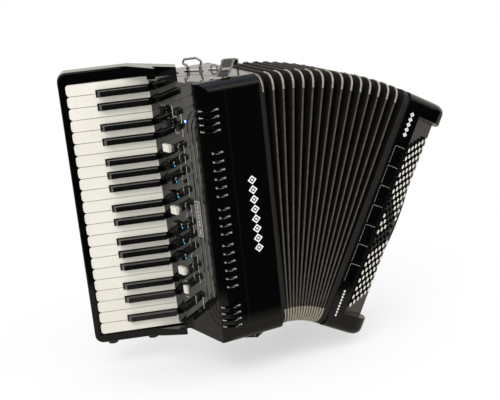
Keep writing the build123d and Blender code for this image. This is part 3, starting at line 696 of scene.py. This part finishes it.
def make_hand_pad():
    """Padded cushion on the inner face of the hand strap, puffed up by cloth pressure."""
    middle, half, pitch, count = 42, 25, 8.0, 27
    rings = []
    for n in range(count):
        z = -104 + n * pitch
        inner, outer = bow_x(z) - 7.2, bow_x(z) - 1.8
        edge = bow_x(z) - 4.5
        width = half if 1 < n < count - 2 else half * 0.8
        low, high = middle - width, middle + width
        section = [(inner, low + 3), (inner, 34), (inner, 50), (inner, high - 3), (edge, high),
                   (outer, high - 1), (outer, 50), (outer, 34), (outer, low + 1), (edge, low)]
        rings.append([(x, y, z) for x, y in section])
    pad = Shape().rings(BASS, rings, closed=False).piece("hand_strap_pad", LEATHER, "bass", "leather", 80)
    inflate(pad, voxel=0.0045, cap=0.0035)
    pad.modifiers.new("smooth", "SUBSURF").render_levels = 1


def inflate(obj, voxel, cap, pressure=4.0, frames=20):
    """Puffs a padded piece by cloth pressure, with the travel of each point capped."""
    scene = bpy.context.scene
    body = obj["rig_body"]
    obj.parent = None
    remesh = obj.modifiers.new("voxels", "REMESH")
    remesh.mode, remesh.voxel_size = "VOXEL", voxel
    bake_mesh(obj)
    rest = [v.co.copy() for v in obj.data.vertices]
    cloth = obj.modifiers.new("cloth", "CLOTH")
    cloth.settings.use_pressure = True
    cloth.settings.uniform_pressure_force = pressure
    cloth.settings.effector_weights.gravity = 0.0
    cloth.point_cache.frame_start, cloth.point_cache.frame_end = 1, frames
    for n in range(1, frames + 1):
        scene.frame_set(n)
    bake_mesh(obj)
    scene.frame_set(1)
    for vertex, start in zip(obj.data.vertices, rest):
        move = vertex.co - start
        if move.length > cap:
            vertex.co = start + move.normalized() * cap
    for face in obj.data.polygons:
        face.use_smooth = True
    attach(obj, body)


def bake_mesh(obj):
    """Replaces the mesh by the result of its modifiers, which are then removed."""
    graph = bpy.context.evaluated_depsgraph_get()
    final = bpy.data.meshes.new_from_object(obj.evaluated_get(graph), preserve_all_data_layers=True,
                                            depsgraph=graph)
    obj.modifiers.clear()
    obj.data = final


# ---- bass end ----
def button_places(columns, black):
    """Places of the white or of the black bass buttons: two bands across the field are black."""
    places = []
    for j in columns:
        for i in range(BUTTON_ROWS):
            if (i in (11, 12) or i - j in (6, 7)) == black:
                height = -20.7 + COLUMN_SHIFT * j + BUTTON_PITCH * ((BUTTON_ROWS - 1) / 2 - i)
                places.append((12 + COLUMN_PITCH * j, height))
    return places


def make_button_caps():
    """Domed white caps on the bass buttons, and dished black ones."""
    domed = [(0.01, -0.6), (3.8, -0.6), (3.8, 0.35), (3.3, 0.8), (2.0, 1.1), (0.01, 1.2)]
    dished = [(0.01, -0.6), (3.8, -0.6), (3.8, 0.5), (3.3, 0.9), (2.7, 0.7), (1.2, 0.1), (0.01, 0.0)]
    tones = (("white", domed, CAP_WHITE, "ivory"), ("black", dished, BLACK_KEY, "dark_plastic"))
    outwards = Matrix.Rotation(math.pi, 4, "X")
    for name, columns in (("single", (0, 1)), ("chord", (2, 3, 4, 5))):
        for tone, profile, finish, slot in tones:
            shape = Shape()
            for across, z in button_places(columns, tone == "black"):
                shape.turned(DECK @ Matrix.Translation((across, BUTTON_TOP, z)) @ outwards, profile, 16)
            shape.piece(f"button_caps_{name}_{tone}", finish, f"{name}_buttons", slot)


def make_tab_edge_glints():
    """Thin pale lines along the top and the inner edge of each bass register tab, painted as highlights on
    the edges that face the light.
    """
    shape = Shape()
    for n in range(7):
        z = 116.0 - 34.1 * (n + 0.5)
        # painted highlights on the top edge and on the inner edge, which face the light
        shape.box(BASS, (12.6, -96.12, z + 15.1), (31.6, -95.9, z + 15.5))
        shape.box(BASS, (12.1, -96.12, z - 15.2), (12.3, -95.9, z + 15.2))
    shape.piece("bass_tab_edge_glints", PAINTED_GLINT, "bass_tabs", "ivory")


def ornament(matrix, count, pitch, width, stroke):
    """Plain inlaid band: a chain of open lozenges with a small solid one in each."""
    shape = Shape()
    half = pitch * 0.46

    def inlay(corners):
        faces = [[(x, y, z) for x, z in corners] for y in (FRONT - 0.12, FRONT + 0.1)]
        shape.rings(matrix, faces, closed=False)

    for n in range(count):
        middle = (n - (count - 1) / 2) * pitch
        outer = [(width / 2, middle), (0, middle + half), (-width / 2, middle), (0, middle - half)]
        thin_x, thin_z = 1 - 2 * stroke / width, 1 - stroke / half
        inner = [(x * thin_x, middle + (z - middle) * thin_z) for x, z in outer]
        for k in range(4):
            after = (k + 1) % 4
            inlay((outer[k], outer[after], inner[after], inner[k]))
        inlay([(x * 0.3, middle + (z - middle) * 0.3) for x, z in outer])
    return shape


def make_inlays():
    for name, body, matrix, count, pitch, width, stroke in (
            ("treble_inlay", "treble", Matrix.Translation((-28.0, 0, -7)), 8, 15.6, 15.0, 2.6),
            ("bass_inlay_high", "bass", BASS @ Matrix.Translation((22, 0, 153)), 5, 8.6, 8.4, 1.8),
            ("bass_inlay_low", "bass", BASS @ Matrix.Translation((21, 0, -158)), 9, 5.2, 4.2, 1.1)):
        # the inlays are drawn in faintly glowing white ink, which is painted light
        ornament(matrix, count, pitch, width, stroke).piece(name, GLOWING_WHITE_INK, body, "ivory", 10)


# ---- side panel and grille cover ----
TAB_Z = [98.6 - 25.5 * n for n in range(9)]
WHITE_TABS = (0, 4, 8)
SELECT_Z = [101.0, 84.0, 67.0, 50.0, 33.0, 6.0, -11.0, -28.0, -53.0, -77.5, -94.5, -111.5]
KNOBS = ((95, 159), (80, 140))
LAMP = (35, 147)
LOOSE_MARKS = ((69, 158, 1.2, 20), (62, 152, 7, 1.0), (46, 150, 1.1, 15), (66, 128, 1.0, 7),
               (60, 126, 6, 1.0), (46, 128, 1.1, 12), (92, -124, 8, 1.0), (92, -151, 8, 1.0),
               (68, -150, 1.1, 14), (46, -150, 1.1, 20))


def dash(shape, s, z, wide, tall):
    """Printed mark on the side panel, s across and z up, which stands 0.12 mm proud."""
    shape.box(SIDE, (s - wide / 2, -0.02, z - tall / 2), (s + wide / 2, 0.12, z + tall / 2))


def mark_knobs(shape):
    """Ring of scale marks round each knob."""
    for s, z in KNOBS:
        for n in range(9):
            angle = math.radians(-140 + 35 * n)
            tick = SIDE @ Matrix.Translation((s, 0, z)) @ Matrix.Rotation(angle, 4, "Y")
            shape.box(tick, (-0.35, -0.02, 7.4), (0.35, 0.12, 9.2))


def mark_display(shape):
    """Pale outline and a line of plain segments on the display window."""
    for s in (22.0, 36.4):
        shape.box(SIDE, (s, -0.4, -35.4), (s + 0.6, -0.1, 21.4))
    for z in (-35.4, 20.8):
        shape.box(SIDE, (22.0, -0.4, z), (37.0, -0.1, z + 0.6))
    for z in (15, 11, 5, -1, -5, -12, -17, -26, -30):
        shape.box(SIDE, (28.4, -0.4, z - 1.2), (30.6, -0.12, z + 1.2))


def make_panel_marks():
    """Plain dashes in place of the panel's legends, and the marks of the knobs and the display."""
    white, blue = Shape(), Shape()
    for n, z in enumerate(TAB_Z):
        dash(white, 83.5, z + 3.5, 3.2, 1.2)
        dash(white, 84.6, z + 1.2, 1.2, 3.0)
        if n not in WHITE_TABS:
            dash(blue, 82.6, z - 2.6, 3.0, 2.6)
    for z in SELECT_Z:
        dash(white, 65.0, z, 1.1, 9.5)
        dash(white, 62.6, z + 7.2, 3.0, 0.8)
        dash(white, 48.4, z + 0.5, 0.9, 13.0)
    mark_knobs(white)
    for mark in LOOSE_MARKS:
        dash(white, *mark)
    mark_display(white)
    white.piece("panel_marks_white", PRINT, "treble", "ivory")
    # the blue marks glow, which is painted light
    blue.piece("panel_marks_blue", GLOWING_BLUE_INK, "treble", "ivory")


def make_power_light():
    s, z = LAMP
    profile = [(0.01, -2.4), (1.7, -2.4), (1.7, 0.2), (1.2, 0.9), (0.01, 1.2)]
    light = Shape().turned(SIDE @ Matrix.Translation((s, 0, z)), profile)
    light.piece("power_light", LED, "treble", "ivory")


# the sound slots: height of the first, pitch, count, and whether they reach round the corner of the cover
SLOT_GROUPS = [(166.0, 10.55, 4, True), (100.3, 13.46, 6, False), (12.3, 13.1, 4, False),
               (-45.5, 13.5, 6, False), (-146.3, 10.7, 4, True)]


def make_slot_glints():
    """Painted highlights in the sound slots: pale chips at both ends and a thin pale line along the lower
    rim.
    """
    shape = Shape()
    for top, pitch, count, reaches_round in SLOT_GROUPS:
        near, far, start, end = (-83, FRONT), (-89, -92), 2.2, 5.4
        if reaches_round:
            near, far, start, end = (-89, -92), (-101, -83), 6.5, 12.5
        slant = math.atan2(far[1] - near[1], far[0] - near[0])
        facet = Matrix.Translation((*near, 0)) @ Matrix.Rotation(slant, 4, "Z")
        for n in range(count):
            z = top - n * pitch
            # painted highlights: a chip at the right end, a smaller one beside it, a thin lower rim line and
            # an L-shaped chip on the cover's facet
            shape.box(HERE, (-73.6, -94.4, z - 1.3), (-70.6, -93.0, z + 0.9))
            shape.box(HERE, (-76.6, -94.2, z - 0.9), (-74.6, -93.0, z + 0.4))
            shape.box(HERE, (-82.5, -94.6, z - 2.05), (-76.0, -94.0, z - 1.65))
            shape.box(facet, (start, -1.2, z - 1.5), (end, -0.2, z - 0.4))
            shape.box(facet, (end - 1.2, -1.2, z - 0.4), (end, -0.2, z + 1.1))
    shape.piece("slot_glints_painted", PAINTED_GLINT, "treble", "ivory", bevel=0.2)


def make_groove_shine():
    """Slivers of light along the three grooves that run down the corner of the grille cover."""
    shape = Shape()
    for s, spans in ((32.2, ((128, 110), (104, 84), (72, 66), (-52, -64), (-96, -118))),
                     (20.7, ((112, 60), (52, 30), (-44, -82), (-90, -128))),
                     (10.8, ((118, 92), (84, 48), (20, -36), (-46, -96), (-104, -132)))):
        for high, low in spans:
            shape.box(SIDE, (s - 0.25, -0.2, low), (s + 0.35, 0.08, high))
    shape.piece("groove_slivers", GROOVE, "treble", "ivory")


def strip(shape, points, width, z):
    """Thin flat strip along a path of (x, y), at height z."""
    for (xa, ya), (xb, yb) in zip(points, points[1:]):
        along = Vector((xb - xa, yb - ya, 0))
        turn = Matrix.Translation((xa, ya, z)) @ Matrix.Rotation(math.atan2(along.y, along.x), 4, "Z")
        shape.box(turn, (-width / 2, -width / 2, 0), (along.length + width / 2, width / 2, SEAM_HEIGHT))


def make_top_seams():
    """Dark joints between the plates of the treble body's top and bottom."""
    for name, level in (("top", TREBLE_HALF), ("bottom", -TREBLE_HALF - SEAM_HEIGHT)):
        shape = Shape()
        strip(shape, [(-112, 26), (-80, 2), (-66, 6), (-57, -30), (-40, -60)], 1.3, level)
        strip(shape, [(-96, -52), (-88, -78), (-60, -79)], 1.0, level)
        strip(shape, [(-3.2, -76), (-3.2, 88)], 0.9, level)
        shape.piece(f"plate_seams_{name}", SEAM, "treble", "dark_plastic")


# ---- stage ----
def make_floor():
    """Pale floor; mirrored in the lacquer it fades out a little way in front of the instrument."""
    f = Finish("pale_floor")
    grain = f.noise(30, 3)
    color = f.tint(grain, (0.83, 0.83, 0.83), (0.87, 0.87, 0.87))
    f.feed(f.skin, Base_Color=color, Roughness=0.9, Specular_IOR_Level=0.1)
    spot = f.node("ShaderNodeSeparateXYZ", Vector=f.place)
    reach = f.spread(spot.outputs[1], 0.0, 0.30, -0.45, -0.40)
    mirrored = f.node("ShaderNodeEmission", Color=(1.0, 0.92, 0.8, 1), Strength=reach)
    rays = f.node("ShaderNodeLightPath")
    away = f.node("ShaderNodeVectorMath", {"operation": "LENGTH"}, i0=f.place).outputs["Value"]
    paper = f.node("ShaderNodeEmission", Color=(1, 1, 1, 1), Strength=1.0)
    fade = f.math("MULTIPLY", f.spread(away, 0.55, 1.0, 0.12, 0.62), rays.outputs["Is Camera Ray"])
    shown = f.node("ShaderNodeMixShader", i0=fade, i1=f.skin.outputs[0], i2=paper.outputs[0])
    mix = f.node("ShaderNodeMixShader", i0=rays.outputs["Is Glossy Ray"], i1=shown.outputs[0],
                 i2=mirrored.outputs[0])
    f.tree.links.new(mix.outputs[0], f.tree.nodes["Material Output"].inputs[0])
    mesh = bpy.data.meshes.new("floor")
    half = 6.0
    corners = [(-half, -half, 0), (half, -half, 0), (half, half, 0), (-half, half, 0)]
    mesh.from_pydata(corners, [], [(0, 1, 2, 3)])
    mesh.materials.append(f.material)
    floor = bpy.data.objects.new("floor", mesh)
    floor.location = (0, 0, FLOOR_Z)
    bpy.context.scene.collection.objects.link(floor)


def make_world():
    """White surround for the camera; the lacquer mirrors a studio with a bright ceiling and a dark front."""
    world = bpy.data.worlds.new("studio")
    world.use_nodes = True
    bpy.context.scene.world = world
    tree = world.node_tree
    nodes, links = tree.nodes, tree.links
    background = nodes["Background"]
    aim = nodes.new("ShaderNodeSeparateXYZ")
    links.new(nodes.new("ShaderNodeTexCoord").outputs["Generated"], aim.inputs[0])

    def ramp(source, stops):
        """Colour for a component of the ray's direction, which runs from -1 (place 0) to 1 (place 1)."""
        made = nodes.new("ShaderNodeValToRGB")
        shift = nodes.new("ShaderNodeMapRange")
        shift.inputs["From Min"].default_value = -1.0
        links.new(source, shift.inputs["Value"])
        links.new(shift.outputs[0], made.inputs[0])
        scale = made.color_ramp.elements
        for element, (place, color) in zip(scale, (stops[0], stops[-1])):
            element.position = place
            element.color = (*color, 1)
        for place, color in stops[1:-1]:
            scale.new(place).color = (*color, 1)
        return made.outputs[0]

    def mixed(kind, factor, a, b):
        made = nodes.new("ShaderNodeMix")
        made.data_type, made.blend_type = "RGBA", kind
        for socket, value in ((made.inputs[0], factor), (made.inputs[6], a), (made.inputs[7], b)):
            if isinstance(value, bpy.types.NodeSocket):
                links.new(value, socket)
            else:
                socket.default_value = value
        return made.outputs[2]

    black, white = (0.0, 0.0, 0.0), (1.0, 1.0, 1.0)
    height = ramp(aim.outputs[2], [(0.48, (0.9, 0.87, 0.82)), (0.60, (0.80, 0.76, 0.70)),
                                   (0.70, (0.95, 0.92, 0.86)), (0.80, (0.42, 0.42, 0.41)),
                                   (0.93, (0.30, 0.32, 0.36)), (1.0, (0.75, 0.86, 1.1))])
    high = ramp(aim.outputs[2], [(0.0, black), (0.50, black), (0.74, white), (1.0, white)])
    behind = ramp(aim.outputs[1], [(0.0, black), (0.40, black), (0.52, white), (1.0, white)])
    lit = mixed("LIGHTEN", 1.0, high, behind)
    studio = mixed("MULTIPLY", 1.0, height, lit)
    rays = nodes.new("ShaderNodeLightPath")
    shown = mixed("MIX", rays.outputs["Is Glossy Ray"], (0.92, 0.92, 0.92, 1), studio)
    shown = mixed("MIX", rays.outputs["Is Camera Ray"], shown, (1, 1, 1, 1))
    links.new(shown, background.inputs["Color"])


def make_light(name, place, aim, size, power, color=(1, 1, 1)):
    data = bpy.data.lights.new(name, "AREA")
    data.shape, data.size, data.size_y = "RECTANGLE", size[0], size[1]
    data.energy, data.color = power, color
    lamp = bpy.data.objects.new(name, data)
    lamp.location = place
    lamp.rotation_euler = (Vector(aim) - Vector(place)).to_track_quat("-Z", "Y").to_euler()
    lamp.visible_glossy = False
    bpy.context.scene.collection.objects.link(lamp)


def make_camera():
    """Camera at the photograph's viewing angle."""
    yaw, pitch, roll = math.radians(24.4), math.radians(15.64), math.radians(-6.11)
    right = Vector((math.cos(yaw), -math.sin(yaw), 0))
    ahead = Vector((math.sin(yaw) * math.cos(pitch), math.cos(yaw) * math.cos(pitch), -math.sin(pitch)))
    up = right.cross(ahead)
    x = right * math.cos(roll) + up * math.sin(roll)
    y = up * math.cos(roll) - right * math.sin(roll)
    data = bpy.data.cameras.new("camera")
    data.sensor_width = 36.0
    data.lens = 2.20892 * data.sensor_width
    camera = bpy.data.objects.new("camera", data)
    place = (Vector((-708.7, -1579.9, 473.5)) + ROW_SHIFT) * 0.001     # metres
    camera.matrix_world = Matrix.Translation(place) @ Matrix((x, y, -ahead)).transposed().to_4x4()
    bpy.context.scene.collection.objects.link(camera)
    bpy.context.scene.camera = camera


def main():
    paint_nodes()
    make_bellows()
    make_bellows_strap("top", STRAP)
    make_bellows_strap("bottom", FLIP_Z @ STRAP)
    make_hand_strap()
    make_hand_pad()
    make_button_caps()
    make_tab_edge_glints()
    make_inlays()
    make_panel_marks()
    make_power_light()
    make_slot_glints()
    make_groove_shine()
    make_top_seams()
    make_floor()
    make_world()
    make_light("key_light", (-2.4, -2.1, 3.3), (0, 0, 0), (2.4, 2.4), 92, (1.0, 0.98, 0.95))
    make_light("fill_light", (1.8, -1.2, 1.2), (0.1, 0, 0), (1.4, 1.4), 16)
    make_camera()
    view = bpy.context.scene.view_settings
    view.view_transform, view.look = "Standard", "None"


main()
